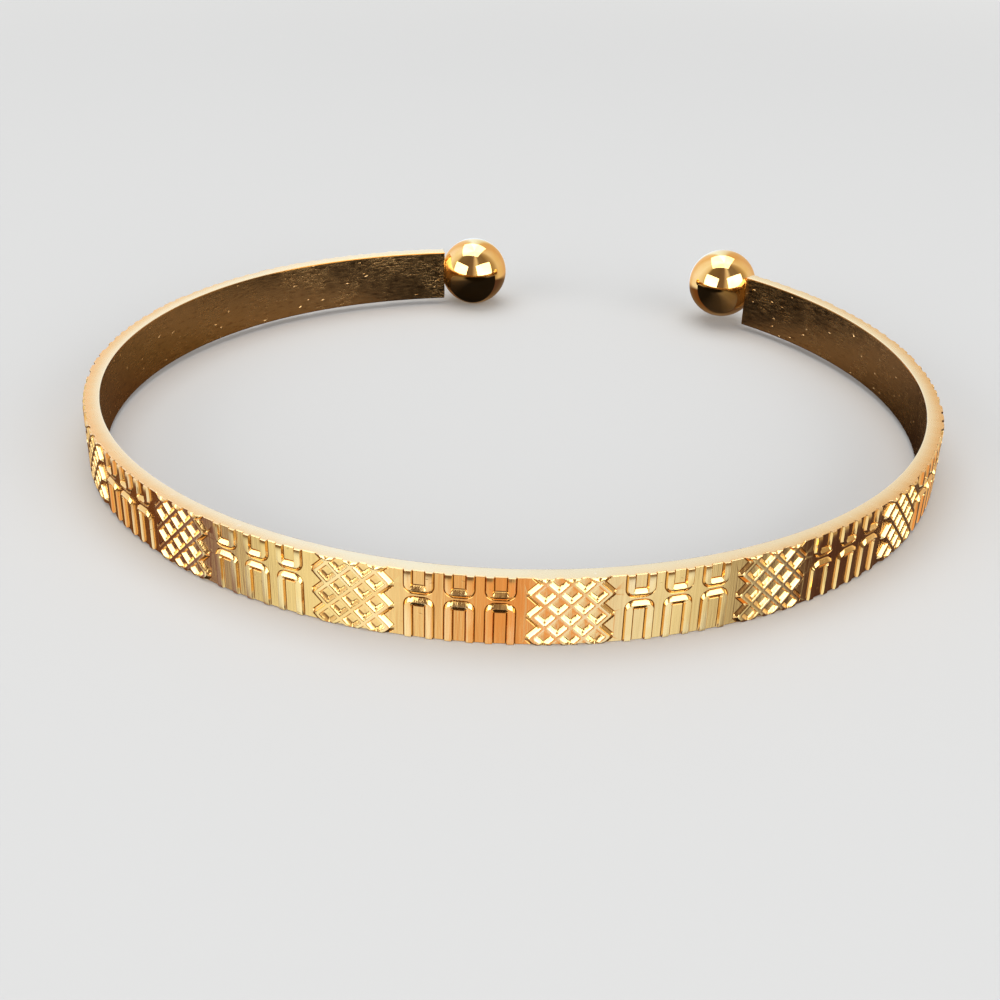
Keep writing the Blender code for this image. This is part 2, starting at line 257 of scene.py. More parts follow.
def buildTile():
    limit = strip["width"] / 2 - strip["edgeRound"]
    first = -(latticeLength + pattern["pad"]) / 2
    last = first + patternPeriod
    bm = bmesh.new()
    addArches(bm, limit)
    lattice = bmesh.new()
    addLattice(lattice, limit)
    patch = bpy.data.meshes.new("lattice patch")
    lattice.to_mesh(patch)
    lattice.free()
    bm.from_mesh(patch)
    bpy.data.meshes.remove(patch)
    print("tile: lattice and arches", len(bm.faces), "faces")

    def onLine(vert, way):
        return abs(vert.co.y - way * limit) < 1.5 * snap

    feet = [e for e in bm.edges if e.is_boundary
            and not any(onLine(e.verts[0], way) and onLine(e.verts[1], way) for way in (-1, 1))]
    corners = {}
    outline = list(feet)
    for way in (-1, 1):
        crossings = sorted({v for e in feet for v in e.verts if onLine(v, way)}, key=lambda v: v.co.x)
        ends = [bm.verts.new((x, way * limit, reliefAt(0))) for x in (first, last)]
        chain = [ends[0]] + crossings + [ends[1]]
        for k in range(0, len(chain) - 1, 2):
            outline.append(bm.edges.new((chain[k], chain[k + 1])))
        corners[way] = ends
    for k in (0, 1):
        outline.append(bm.edges.new((corners[-1][k], corners[1][k])))
    known = set(bm.faces)
    bmesh.ops.triangle_fill(bm, use_beauty=True, use_dissolve=False, edges=outline)
    ground = [f for f in bm.faces if f not in known]
    print("tile: ground", len(ground), "faces")
    sliceFaces(bm, ground, first, last)
    for vert in bm.verts:
        near = (abs(vert.co.y) - limit) / pattern["edgeSoft"] + 1
        if near > 0 and vert.co.z > reliefAt(0):
            kept = 1 - (1 - pattern["edgeShare"]) * min(near, 1) ** 2
            vert.co.z = reliefAt(0) + (vert.co.z - reliefAt(0)) * kept

    # from the relief round the outer edge and the inner edge: how far out, and how far down or at what level
    inner = strip["innerRound"]
    rimSteps = (
        ("drop", 0.55 * strip["edgeRound"], 0.18 * strip["edgeRound"]),
        ("drop", strip["edgeRound"], strip["edgeRound"]),
        ("level", strip["edgeRound"], backLevel + inner),
        ("level", strip["edgeRound"] - 0.3 * inner, backLevel + 0.3 * inner),
        ("level", strip["edgeRound"] - inner, backLevel),
    )
    innerLines = {}
    for way in (-1, 1):
        edges = [e for e in bm.edges if e.is_boundary and onLine(e.verts[0], way) and onLine(e.verts[1], way)]
        startHeight = {}
        for kind, out, height in rimSteps:
            made = bmesh.ops.extrude_edge_only(bm, edges=edges)["geom"]
            newVerts = [g for g in made if isinstance(g, bmesh.types.BMVert)]
            for vert in newVerts:
                key = round(vert.co.x * 1e7)
                startHeight.setdefault(key, vert.co.z)
                vert.co.y = way * (limit + out)
                vert.co.z = startHeight[key] - height if kind == "drop" else height
            rimVerts = set(newVerts)
            edges = [g for g in made if isinstance(g, bmesh.types.BMEdge)
                     and g.is_boundary and rimVerts.issuperset(g.verts)]
        innerLines[way] = sorted({v for e in edges for v in e.verts}, key=lambda v: v.co.x)
    plain = bm.faces.new(innerLines[-1] + innerLines[1][::-1])
    sliceFaces(bm, [plain], first, last)
    bmesh.ops.recalc_face_normals(bm, faces=bm.faces)
    sample = max((f for f in bm.faces if abs(f.calc_center_median().z - reliefAt(0)) < 1e-6),
                 key=lambda f: f.calc_area())
    if sample.normal.z < 0:
        bmesh.ops.reverse_faces(bm, faces=bm.faces)
    print("tile:", len(bm.faces), "faces")
    return bm, first


def bendTable():
    wrap = math.radians(360 - strip["gapAngle"])
    total = sum(share for radius, share in strip["bend"])
    sweeps = [wrap * share / total for radius, share in strip["bend"]]
    heading = -(sweeps[0] + sweeps[1] + sweeps[2] / 2)
    point = Vector((0, 0))
    station = 0.0
    rows = []
    for (radiusShare, share), sweep in zip(strip["bend"], sweeps):
        radius = radiusShare * strip["hoopRadius"]
        rows.append((station, point.copy(), heading, radius))
        after = heading + sweep
        point += radius * Vector((math.sin(after) - math.sin(heading), math.cos(heading) - math.cos(after)))
        heading = after
        station += radius * sweep
    return rows, station


bendRows, stripLength = bendTable()
restMatrix = (Matrix.Translation(strip["restPlace"])
              @ Euler(strip["restTurn"], "XYZ").to_matrix().to_4x4())


def onBend(station):
    row = [r for r in bendRows if r[0] <= max(station, 0.0)][-1]
    start, point, heading, radius = row
    after = heading + (station - start) / radius
    return point + radius * Vector((math.sin(after) - math.sin(heading),
                                    math.cos(heading) - math.cos(after))), after


def buildBand():
    tileMesh = bpy.data.meshes.new("tile")
    bm, first = buildTile()
    bm.to_mesh(tileMesh)
    bm.free()
    tile = bpy.data.objects.new("tile", tileMesh)
    bpy.context.scene.collection.objects.link(tile)
    reach = stripLength / 2 + strip["endReach"]
    ahead = math.ceil((pattern["shift"] + first + reach) / patternPeriod)
    rowStart = pattern["shift"] - ahead * patternPeriod
    array = tile.modifiers.new("repeat", "ARRAY")
    array.count = math.ceil((reach - rowStart - first) / patternPeriod)
    array.use_relative_offset = False
    array.use_constant_offset = True
    array.constant_offset_displace = (patternPeriod, 0, 0)
    array.use_merge_vertices = True
    array.merge_threshold = 0.000001
    graph = bpy.context.evaluated_depsgraph_get()
    rowMesh = bpy.data.meshes.new_from_object(tile.evaluated_get(graph))
    bpy.data.objects.remove(tile)
    bm = bmesh.new()
    bm.from_mesh(rowMesh)
    bmesh.ops.translate(bm, verts=bm.verts, vec=(rowStart, 0, 0))
    for way in (-1, 1):
        geom = withEdges([f for f in bm.faces if way * f.calc_center_median().x > reach - 3 * mm])
        cutAt = way * (reach - strip["endRound"])
        bmesh.ops.bisect_plane(bm, geom=list(geom), dist=1e-7, plane_co=(cutAt, 0, 0), plane_no=(way, 0, 0))
        beyond = [v for v in bm.verts if way * (v.co.x - cutAt) > 1e-8]
        bmesh.ops.delete(bm, geom=beyond, context="VERTS")
        rim = [e for e in bm.edges if e.is_boundary and abs(e.verts[0].co.x - cutAt) < 1e-7
               and abs(e.verts[1].co.x - cutAt) < 1e-7]
        cap = bmesh.ops.edgeloop_fill(bm, edges=rim)["faces"]
        bmesh.ops.recalc_face_normals(bm, faces=bm.faces)
        bmesh.ops.inset_region(bm, faces=cap, thickness=strip["endRound"] * strip["endSlant"],
                               depth=strip["endRound"], use_even_offset=True)
    bmesh.ops.triangulate(bm, faces=bm.faces, quad_method="SHORT_EDGE", ngon_method="BEAUTY")
    for face in bm.faces:
        middle = face.calc_center_median()
        if middle.z < backLevel + 0.01 * mm:
            face.material_index = 2     # inner face
        elif (abs(middle.y) > strip["width"] / 2 - strip["edgeRound"] + 0.001 * mm
              or abs(middle.x) > reach - strip["endRound"] + 0.001 * mm):
            face.material_index = 1     # rims and ends
        face.smooth = True
    for edge in bm.edges:       # creases stay crisp, so the flats between them shade flat
        sides = edge.link_faces
        if len(sides) == 2 and (sides[0].material_index != sides[1].material_index
                                or edge.calc_face_angle(0) > math.radians(strip["creaseAngle"])):
            edge.smooth = False
    flat = [v.co.copy() for v in bm.verts]
    for vert in bm.verts:
        x, y, z = vert.co
        point, heading = onBend(x + stripLength / 2)
        place = Vector((point.x + z * math.sin(heading), point.y - z * math.cos(heading), y))
        vert.co = restMatrix @ place
    bmesh.ops.recalc_face_normals(bm, faces=bm.faces)
    mesh = bpy.data.meshes.new("pressed band")
    bm.to_mesh(mesh)
    bm.free()
    laid = mesh.attributes.new("flatPlace", "FLOAT_VECTOR", "POINT")
    laid.data.foreach_set("vector", [c / mm for co in flat for c in co])
    band = bpy.data.objects.new("pressed_band", mesh)
    bpy.context.scene.collection.objects.link(band)
    weigh = band.modifiers.new("even shading", "WEIGHTED_NORMAL")
    weigh.mode = "FACE_AREA"
    weigh.keep_sharp = True
    print("band:", len(mesh.polygons), "triangles")
    return band


# polished balls, each with a small filed seat against the strip's end
ballEnd = {
    "diameter": 6.35 * mm,
    "seatRadius": 1.05 * mm,
    "seatRound": 0.12 * mm,
    "fitGap": 0.30 * mm,
    "flatDepth": 0.20 * mm,
    "heights": {"left": 0.20 * mm, "right": 0.90 * mm},
    "rings": 56,
    "sides": 96,
}


def endFrame(side):
    way = 1 if side == "right" else -1
    point, heading = onBend(stripLength if way > 0 else 0.0)
    forward = Vector((math.cos(heading), math.sin(heading), 0)) * way
    out = Vector((math.sin(heading), -math.cos(heading), 0))
    turn = Matrix((out, forward.cross(out), forward)).transposed().to_4x4()
    axisOut = backLevel + strip["thickness"] / 2
    place = Vector((point.x, point.y, ballEnd["heights"][side])) + out * axisOut
    return restMatrix @ Matrix.Translation(place) @ turn


def buildBall(side):
    radius = ballEnd["diameter"] / 2
    centre = ballEnd["fitGap"] + radius - ballEnd["flatDepth"]
    seatAngle = math.asin(ballEnd["seatRadius"] / radius)
    profile = [(0.0, centre - radius + ballEnd["flatDepth"])]
    for k in range(ballEnd["rings"] + 1):
        angle = seatAngle + (math.pi - seatAngle) * k / ballEnd["rings"]
        profile.append((radius * math.sin(angle), centre - radius * math.cos(angle)))
    bm = bmesh.new()
    rows = []
    for r, z in profile:
        if r < 1e-6:
            rows.append([bm.verts.new((0, 0, z))])
            continue
        rows.append([bm.verts.new((r * math.cos(2 * math.pi * k / ballEnd["sides"]),
                                   r * math.sin(2 * math.pi * k / ballEnd["sides"]), z))
                     for k in range(ballEnd["sides"])])
    for rowA, rowB in zip(rows, rows[1:]):
        for k in range(ballEnd["sides"]):
            n = (k + 1) % ballEnd["sides"]
            ring = [rowA[k % len(rowA)], rowA[n % len(rowA)], rowB[n % len(rowB)], rowB[k % len(rowB)]]
            bm.faces.new(list(dict.fromkeys(ring)))
    bmesh.ops.recalc_face_normals(bm, faces=bm.faces)
    flat = [v.co.copy() for v in bm.verts]
    bm.transform(endFrame(side))
    mesh = bpy.data.meshes.new("polished ball " + side)
    bm.to_mesh(mesh)
    bm.free()
    laid = mesh.attributes.new("flatPlace", "FLOAT_VECTOR", "POINT")
    laid.data.foreach_set("vector", [c / mm for co in flat for c in co])
    mesh.shade_smooth()
    mesh.set_sharp_from_angle(angle=math.radians(50))
    ball = bpy.data.objects.new("polished_ball_" + side, mesh)
    bpy.context.scene.collection.objects.link(ball)
    print("ball", side, len(mesh.polygons), "faces")
    return ball


band = buildBand()
balls = {side: buildBall(side) for side in ("left", "right")}

# finishes: colours of the metal, with painted shade in the pressed grooves and a darker inside of painted shade, and
# lines and smudges in features per millimetre
goldFinish = {
    "pressed": {
        # its darkest colour is painted shade for the grooves below the ground
        "shadeAndLines": (0.34, 0.15, 0.03), "plain": (0.93, 0.60, 0.22), "worn": (1.00, 0.72, 0.34),
        "lines": (6.5, 0.25, 0.5), "contrast": 0.20, "lineDepth": 7e-6, "smooth": 0.08, "rough": 0.21,
        "smudge": 0.35, "smudgeShare": 0.5, "lineTint": 0.03, "nickDepth": 0.8, "nicks": 1.1,
    },
    "filed": {
        "shadeAndLines": (0.90, 0.62, 0.31), "plain": (0.96, 0.70, 0.38), "worn": (0.99, 0.75, 0.45),
        "lines": (0.25, 9.0, 9.0), "contrast": 0.35, "lineDepth": 2e-6, "smooth": 0.22, "rough": 0.30,
        "smudge": 0.6, "smudgeShare": 0.5, "nickDepth": 0.5, "nicks": 1.1,
    },
    # the inside is a darker copy of the same gold: its colours are painted shade, with brushed lines and nicks of its
    # own
    "inside": {
        "shadeAndLines": (0.42, 0.24, 0.09), "plain": (0.66, 0.41, 0.17), "worn": (0.95, 0.66, 0.34),
        "lines": (1.3, 5.0, 5.0), "contrast": 0.13, "lineDepth": 9e-6, "smooth": 0.17, "rough": 0.29,
        "smudge": 0.35, "smudgeShare": 0.25, "nickDepth": 6.5, "nicks": 0.85,
    },
    "ball": {
        "plain": (0.96, 0.63, 0.22), "worn": (1.00, 0.70, 0.31),
        "lines": (1.2, 9.0, 4.0), "contrast": 0.12, "lineDepth": 2e-7, "smooth": 0.02, "rough": 0.07,
        "smudge": 0.5, "smudgeShare": 0.6, "nickDepth": 0.0, "nicks": 1.1,
    },
}


def makeGroup(name, inputs, outputs):
    group = bpy.data.node_groups.new(name, "ShaderNodeTree")
    for label, kind in inputs:
        group.interface.new_socket(label, in_out="INPUT", socket_type="NodeSocket" + kind)
    for label, kind in outputs:
        group.interface.new_socket(label, in_out="OUTPUT", socket_type="NodeSocket" + kind)
    start = group.nodes.new("NodeGroupInput")
    end = group.nodes.new("NodeGroupOutput")
    start.location, end.location = (-900, 0), (700, 0)
    return group, start, end


def addNode(tree, kind, at, **settings):
    node = tree.nodes.new("ShaderNode" + kind)
    node.location = at
    for label, value in settings.items():
        setattr(node, label, value)
    return node


def setInputs(node, **values):
    for label, value in values.items():
        node.inputs[label.replace("_", " ")].default_value = value


# long fine lines left by rolling, filing or brushing
def makeDrawnLines():
    group, start, end = makeGroup(
        "drawnLines", (("Place", "Vector"), ("Stretch", "Vector"), ("Contrast", "Float")),
        (("Lines", "Float"),))
    scaled = addNode(group, "VectorMath", (-650, 0), operation="MULTIPLY")
    noise = addNode(group, "TexNoise", (-450, 0))
    setInputs(noise, Scale=1.0, Detail=3.0, Roughness=0.65)
    low = addNode(group, "Math", (-450, -280), operation="SUBTRACT")
    high = addNode(group, "Math", (-450, -460), operation="ADD")
    low.inputs[0].default_value = high.inputs[0].default_value = 0.5
    spread = addNode(group, "MapRange", (-200, 0))
    group.links.new(start.outputs["Place"], scaled.inputs[0])
    group.links.new(start.outputs["Stretch"], scaled.inputs[1])
    group.links.new(scaled.outputs[0], noise.inputs["Vector"])
    group.links.new(start.outputs["Contrast"], low.inputs[1])
    group.links.new(start.outputs["Contrast"], high.inputs[1])
    group.links.new(noise.outputs["Fac"], spread.inputs["Value"])
    group.links.new(low.outputs[0], spread.inputs["From Min"])
    group.links.new(high.outputs[0], spread.inputs["From Max"])
    group.links.new(spread.outputs["Result"], end.inputs["Lines"])
    return group


# soft smudges from handling, and sparse bright nicks
def makeHandlingMarks():
    group, start, end = makeGroup(
        "handlingMarks", (("Place", "Vector"), ("Smudge Scale", "Float"), ("Nick Scale", "Float")),
        (("Smudge", "Float"), ("Nicks", "Float")))
    smudge = addNode(group, "TexNoise", (-600, 200))
    setInputs(smudge, Detail=2.0, Roughness=0.5)
    soft = addNode(group, "MapRange", (-350, 200), interpolation_type="SMOOTHSTEP")
    setInputs(soft, From_Min=0.35, From_Max=0.65)
    bend = addNode(group, "TexNoise", (-820, -320))
    setInputs(bend, Scale=1.3, Detail=1.0)
    shifted = addNode(group, "VectorMath", (-640, -320), operation="MULTIPLY_ADD")
    shifted.inputs[1].default_value = (0.6, 0.6, 0.6)
    slanted = addNode(group, "Mapping", (-540, -520))
    setInputs(slanted, Rotation=(0.3, 0.2, 0.6), Scale=(1.0, 2.4, 1.0))
    cells = addNode(group, "TexVoronoi", (-440, -200))
    dot = addNode(group, "MapRange", (-220, -200))
    setInputs(dot, From_Min=0.17, From_Max=0.07)
    tint = addNode(group, "SeparateColor", (-220, -440))
    few = addNode(group, "Math", (-20, -440), operation="GREATER_THAN")
    few.inputs[1].default_value = 0.66
    nicks = addNode(group, "Math", (200, -240), operation="MULTIPLY")
    group.links.new(start.outputs["Place"], smudge.inputs["Vector"])
    group.links.new(start.outputs["Smudge Scale"], smudge.inputs["Scale"])
    group.links.new(smudge.outputs["Fac"], soft.inputs["Value"])
    group.links.new(start.outputs["Place"], bend.inputs["Vector"])
    group.links.new(bend.outputs["Color"], shifted.inputs[0])
    group.links.new(start.outputs["Place"], shifted.inputs[2])
    group.links.new(shifted.outputs[0], slanted.inputs["Vector"])
    group.links.new(slanted.outputs[0], cells.inputs["Vector"])
    group.links.new(start.outputs["Nick Scale"], cells.inputs["Scale"])
    group.links.new(cells.outputs["Distance"], dot.inputs["Value"])
    group.links.new(cells.outputs["Color"], tint.inputs["Color"])
    group.links.new(tint.outputs["Red"], few.inputs[0])
    group.links.new(dot.outputs["Result"], nicks.inputs[0])
    group.links.new(few.outputs[0], nicks.inputs[1])
    group.links.new(soft.outputs["Result"], end.inputs["Smudge"])
    group.links.new(nicks.outputs[0], end.inputs["Nicks"])
    return group


# painted shade in the grooves, plain on the ground, paler where the crests are rubbed; on the rim and inside the low
# tone follows the fine lines
def makeGoldTone():
    group, start, end = makeGroup(
        "goldTone", (("Deep", "Color"), ("Plain", "Color"), ("Worn", "Color"), ("Height", "Float"), ("Rub", "Float")),
        (("Color", "Color"),))
    # the low tone is painted shade where the height drops below the ground
    low = addNode(group, "MapRange", (-500, 200))
    setInputs(low, From_Min=-0.13, From_Max=0.0)
    high = addNode(group, "MapRange", (-500, -100))
    setInputs(high, From_Min=0.55, From_Max=1.0)
    rub = addNode(group, "Math", (-250, -100), operation="MULTIPLY")
    first = addNode(group, "Mix", (0, 200), data_type="RGBA")
    second = addNode(group, "Mix", (300, 100), data_type="RGBA")
    group.links.new(start.outputs["Height"], low.inputs["Value"])
    group.links.new(start.outputs["Height"], high.inputs["Value"])
    group.links.new(low.outputs["Result"], first.inputs["Factor"])
    group.links.new(start.outputs["Deep"], first.inputs["A"])
    group.links.new(start.outputs["Plain"], first.inputs["B"])
    group.links.new(high.outputs["Result"], rub.inputs[0])
    group.links.new(start.outputs["Rub"], rub.inputs[1])
    group.links.new(rub.outputs[0], second.inputs["Factor"])
    group.links.new(first.outputs["Result"], second.inputs["A"])
    group.links.new(start.outputs["Worn"], second.inputs["B"])
    group.links.new(second.outputs["Result"], end.inputs["Color"])
    return group


drawnLines = makeDrawnLines()
handlingMarks = makeHandlingMarks()
goldTone = makeGoldTone()
print("finishes: groups ready")


def makeGold(name, finish, heights=None):
    mat = bpy.data.materials.new(name)
    mat.use_nodes = True
    tree = mat.node_tree
    shader = tree.nodes["Principled BSDF"]
    setInputs(shader, Metallic=1.0)
    place = addNode(tree, "Attribute", (-1500, 0), attribute_name="flatPlace")
    lines = addNode(tree, "Group", (-1200, 200), node_tree=drawnLines)
    setInputs(lines, Stretch=finish["lines"], Contrast=finish["contrast"])
    marks = addNode(tree, "Group", (-1200, -100), node_tree=handlingMarks)
    setInputs(marks, Smudge_Scale=finish["smudge"], Nick_Scale=finish["nicks"])
    for node in (lines, marks):
        tree.links.new(place.outputs["Vector"], node.inputs["Place"])
    # on the pressed band the tone follows the relief's height, so the grooves get painted shade
    if heights:
        parts = addNode(tree, "SeparateXYZ", (-1200, -350))
        height = addNode(tree, "MapRange", (-950, -350), clamp=False)
        setInputs(height, From_Min=heights[0] / mm, From_Max=heights[1] / mm)
        tree.links.new(place.outputs["Vector"], parts.inputs[0])
        tree.links.new(parts.outputs["Z"], height.inputs["Value"])
        tone = addNode(tree, "Group", (-650, 300), node_tree=goldTone)
        tint = addNode(tree, "MapRange", (-950, -160))
        setInputs(tint, To_Min=-finish["lineTint"], To_Max=0.0)
        tinted = addNode(tree, "Math", (-800, 420), operation="ADD")
        tree.links.new(lines.outputs["Lines"], tint.inputs["Value"])
        tree.links.new(height.outputs["Result"], tinted.inputs[0])
        tree.links.new(tint.outputs["Result"], tinted.inputs[1])
        tree.links.new(tinted.outputs[0], tone.inputs["Height"])
        tree.links.new(marks.outputs["Smudge"], tone.inputs["Rub"])
    elif "shadeAndLines" in finish:
        tone = addNode(tree, "Group", (-650, 300), node_tree=goldTone)
        level = addNode(tree, "MapRange", (-950, 300))
        setInputs(level, To_Min=-0.10, To_Max=0.62)
        speck = addNode(tree, "Math", (-800, 60), operation="ADD")
        tree.links.new(lines.outputs["Lines"], level.inputs["Value"])
        tree.links.new(level.outputs["Result"], speck.inputs[0])
        tree.links.new(marks.outputs["Nicks"], speck.inputs[1])
        tree.links.new(speck.outputs[0], tone.inputs["Height"])
        tone.inputs["Rub"].default_value = 1.0
    else:
        tone = addNode(tree, "Mix", (-650, 300), data_type="RGBA")
        tone.inputs["A"].default_value = (*finish["plain"], 1)
        tone.inputs["B"].default_value = (*finish["worn"], 1)
        tree.links.new(marks.outputs["Smudge"], tone.inputs["Factor"])
    if "shadeAndLines" in finish:
        setInputs(tone, Deep=(*finish["shadeAndLines"], 1), Plain=(*finish["plain"], 1), Worn=(*finish["worn"], 1))
    toneOut = "Color" if "shadeAndLines" in finish else "Result"
    tree.links.new(tone.outputs[toneOut], shader.inputs["Base Color"])

    dull = addNode(tree, "Math", (-800, -100), operation="MULTIPLY_ADD")
    dull.inputs[1].default_value = finish["smudgeShare"]
    half = addNode(tree, "Math", (-980, -40), operation="MULTIPLY")
    half.inputs[1].default_value = 1 - finish["smudgeShare"]
    gloss = addNode(tree, "MapRange", (-550, -100))
    setInputs(gloss, To_Min=finish["smooth"], To_Max=finish["rough"])
    tree.links.new(lines.outputs["Lines"], half.inputs[0])
    tree.links.new(marks.outputs["Smudge"], dull.inputs[0])
    tree.links.new(half.outputs[0], dull.inputs[2])
    tree.links.new(dull.outputs[0], gloss.inputs["Value"])
    tree.links.new(gloss.outputs["Result"], shader.inputs["Roughness"])

    patchy = addNode(tree, "MapRange", (-800, -560))
    setInputs(patchy, To_Min=0.35)
    marked = addNode(tree, "Math", (-600, -480), operation="MULTIPLY")
    bump = addNode(tree, "Bump", (-400, -400))
    setInputs(bump, Strength=1.0, Distance=finish["lineDepth"])
    tree.links.new(marks.outputs["Smudge"], patchy.inputs["Value"])
    tree.links.new(lines.outputs["Lines"], marked.inputs[0])
    tree.links.new(patchy.outputs["Result"], marked.inputs[1])
    raised = addNode(tree, "Math", (-600, -660), operation="MULTIPLY_ADD")
    raised.inputs[1].default_value = finish["nickDepth"]
    tree.links.new(marks.outputs["Nicks"], raised.inputs[0])
    tree.links.new(marked.outputs[0], raised.inputs[2])
    tree.links.new(raised.outputs[0], bump.inputs["Height"])
    tree.links.new(bump.outputs["Normal"], shader.inputs["Normal"])
    return mat


band.data.materials.append(makeGold("pressedGold", goldFinish["pressed"], (reliefAt(0), reliefAt(1))))
band.data.materials.append(makeGold("filedRim", goldFinish["filed"]))
# the inside's darker gold is painted shade
band.data.materials.append(makeGold("brushedShadedInside", goldFinish["inside"]))
ballGold = makeGold("polishedGold", goldFinish["ball"])
for ball in balls.values():
    ball.data.materials.append(ballGold)
print("finishes: set")

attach(band, "root")
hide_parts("band")
for side, ball in balls.items():
    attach(ball, "root")
    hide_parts("ball_" + side)

studio = {
    "floorSize": 4.0,
    "floorColor": (0.49, 0.495, 0.50),
    "floorFade": (0.14, 0.40),      # distance over which the floor turns into the backdrop
    "backdropColor": (0.80, 0.80, 0.79),
    "belowColor": (0.030, 0.020, 0.013),
    "fillColor": (0.62, 0.62, 0.62),
    # where the tones change, as the height of a direction from -1 straight down to 1 straight up
    "belowFade": (-0.97, -0.84),
    "horizonFade": (-0.40, -0.27),
    # what the metal mirrors: azimuth from the front in degrees and brightness, below and above the horizon
    "lowTones": ((-180, (0.20, 0.15, 0.11)), (-135, (0.17, 0.10, 0.06)), (-112, (0.16, 0.07, 0.03)),
                 (-92, (0.15, 0.06, 0.025)), (-74, (0.26, 0.18, 0.28)), (-55, (0.90, 1.02, 1.05)),
                 (-45, (1.05, 1.22, 1.30)), (-19, (1.05, 1.10, 1.20)), (-2, (0.90, 0.66, 0.50)),
                 (13, (0.90, 0.45, 0.22)), (27, (0.88, 0.78, 0.80)), (38, (0.98, 1.18, 1.65)),
                 (56, (0.98, 1.12, 1.25)), (71, (0.52, 0.54, 0.57)), (93, (0.09, 0.045, 0.05)),
                 (125, (0.10, 0.06, 0.05)), (180, (0.20, 0.15, 0.11))),
    "highTones": ((-180, (0.86, 0.95, 1.05)), (-172, (0.93, 1.15, 1.45)), (-164, (0.98, 1.26, 1.75)),
                  (-157, (0.88, 0.82, 0.70)), (-151, (0.92, 0.70, 0.57)), (-138, (0.86, 0.68, 0.49)),
                  (-122, (0.98, 0.95, 1.00)), (-95, (1.00, 1.05, 1.15)), (-72, (0.82, 0.74, 0.62)),
                  (-61, (0.22, 0.17, 0.12)), (-16, (0.17, 0.12, 0.09)), (5, (0.20, 0.14, 0.11)),
                  (14, (0.62, 0.50, 0.40)), (24, (0.86, 0.76, 0.64)), (36, (0.24, 0.18, 0.13)),
                  (70, (0.24, 0.18, 0.13)), (96, (0.50, 0.40, 0.28)), (112, (0.84, 0.74, 0.62)),
                  (132, (0.80, 0.66, 0.50)),
                  (150, (0.72, 0.50, 0.32)), (171, (0.74, 0.54, 0.34)), (176, (0.80, 0.74, 0.62)),
                  (180, (0.86, 0.95, 1.05))),
}

floorMesh = bpy.data.meshes.new("floor")
bm = bmesh.new()
bmesh.ops.create_grid(bm, x_segments=1, y_segments=1, size=studio["floorSize"])
bm.to_mesh(floorMesh)
bm.free()
floor = bpy.data.objects.new("floor", floorMesh)
bpy.context.scene.collection.objects.link(floor)
floorMat = bpy.data.materials.new("paleFloor")
floorMat.use_nodes = True
floorTree = floorMat.node_tree
floorSkin = floorTree.nodes["Principled BSDF"]
setInputs(floorSkin, Roughness=0.9, Specular_IOR_Level=0.0, Emission_Color=(*studio["backdropColor"], 1))
floorPlace = addNode(floorTree, "TexCoord", (-900, 0))
floorAway = addNode(floorTree, "VectorMath", (-700, 0), operation="LENGTH")
floorFade = addNode(floorTree, "MapRange", (-500, 0), interpolation_type="SMOOTHSTEP")
setInputs(floorFade, From_Min=studio["floorFade"][0], From_Max=studio["floorFade"][1])
floorPaint = addNode(floorTree, "Mix", (-250, 0), data_type="RGBA")
floorPaint.inputs["A"].default_value = (*studio["floorColor"], 1)
floorPaint.inputs["B"].default_value = (0, 0, 0, 1)
floorTree.links.new(floorPlace.outputs["Object"], floorAway.inputs[0])
floorTree.links.new(floorAway.outputs["Value"], floorFade.inputs["Value"])
floorTree.links.new(floorFade.outputs["Result"], floorPaint.inputs["Factor"])
floorTree.links.new(floorFade.outputs["Result"], floorSkin.inputs["Emission Strength"])
floorTree.links.new(floorPaint.outputs["Result"], floorSkin.inputs["Base Color"])
floor.data.materials.append(floorMat)
floor.visible_glossy = False        # the gold mirrors the soft glows below instead, so its relief stays readable

# a dark card inside the hoop, seen only by the metal, is a painted dark reflection that keeps the inner face dark
card = {
    "steps": 72,
    "inset": 0.1,                   # both in mm
    "lift": 0.02,
    "gapMiddle": (0, 0.026, 0),
    "toneReach": 60,                # distance from the middle of the gap at which the tones end, in mm
    # tones of the painted reflection, by distance from the middle of the gap
    "tones": ((11, (0.012, 0.01, 0.01)), (15.5, (0.055, 0.045, 0.045)), (18.5, (0.20, 0.165, 0.145)),
              (27, (0.26, 0.205, 0.15)), (33, (0.20, 0.15, 0.08)), (42, (0.14, 0.085, 0.045))),
    "middleColor": (0.008, 0.006, 0.004),
    "middleFade": (0.015, 0.022),   # distance from the middle of the hoop over which the tones begin
    "rightColor": (0.02, 0.008, 0.008),
    "rightFade": (0.022, 0.031),    # the right end is darker still
    "rightShare": 0.85,
}
cardMesh = bpy.data.meshes.new("dark card")
cardEdge = []
for k in range(card["steps"] + 1):
    point, heading = onBend(stripLength * k / card["steps"])
    inward = Vector((-math.sin(heading), math.cos(heading))) * card["inset"] * mm
    spot = restMatrix @ Vector((point.x + inward.x, point.y + inward.y, 0))
    cardEdge.append((spot.x, spot.y, card["lift"] * mm))
cardMesh.from_pydata(cardEdge, [], [list(range(len(cardEdge)))])
darkReflectionCard = bpy.data.objects.new("dark_card", cardMesh)
bpy.context.scene.collection.objects.link(darkReflectionCard)
cardMat = bpy.data.materials.new("darkReflectionCard")
cardMat.use_nodes = True
cardTree = cardMat.node_tree
setInputs(cardTree.nodes["Principled BSDF"], Roughness=1.0, Specular_IOR_Level=0.0)
cardPlace = addNode(cardTree, "TexCoord", (-900, 0))
cardAway = addNode(cardTree, "VectorMath", (-700, 0), operation="DISTANCE")
cardAway.inputs[1].default_value = card["gapMiddle"]
cardReach = addNode(cardTree, "MapRange", (-500, 0))
setInputs(cardReach, From_Min=0.0, From_Max=card["toneReach"] * mm)
cardTone = addNode(cardTree, "ValToRGB", (-300, 0))
while len(cardTone.color_ramp.elements) < len(card["tones"]):
    cardTone.color_ramp.elements.new(0.5)
